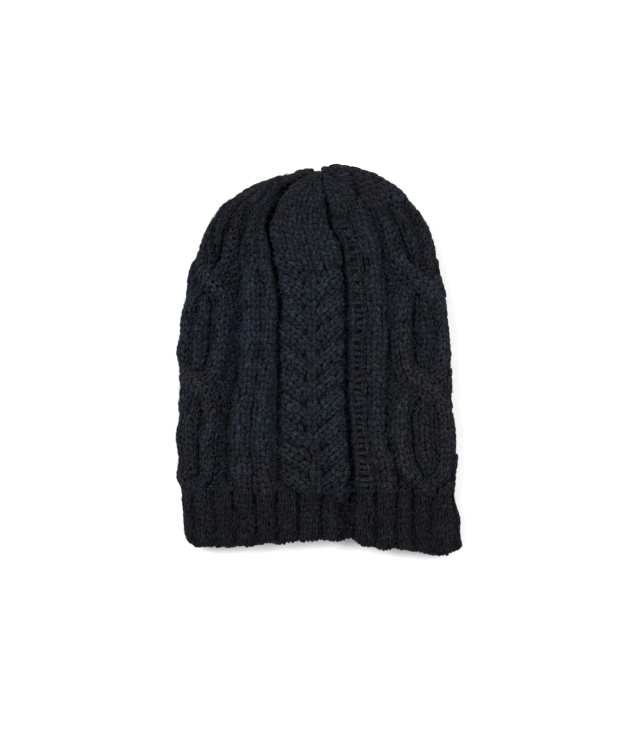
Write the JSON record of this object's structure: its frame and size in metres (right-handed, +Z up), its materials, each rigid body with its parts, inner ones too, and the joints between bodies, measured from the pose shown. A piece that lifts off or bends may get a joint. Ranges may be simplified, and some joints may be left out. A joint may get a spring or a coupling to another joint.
{
  "type": "cable-knit beanie hat lying flat",
  "caption": "Slouchy cable-knit winter hat laid flat, with a ribbed brim, a leaf cable up the middle, oval cables at the sides and a gathered crown.",
  "frame": {"origin": "on the surface that the hat lies on, under the middle of its outline", "axes": "+X to the right of the front layer, +Y from the opening to the crown, +Z up through the front layer"},
  "size_m": [0.211, 0.2904, 0.0342],
  "materials": {
    "knit_yarn": "soft plied yarn, dark navy and charcoal, slightly fuzzy"
  },
  "bodies": {
    "root": {"rib_brim": "knit_yarn", "cable_body": "knit_yarn", "gathered_crown": "knit_yarn"}
  },
  "joints": []
}
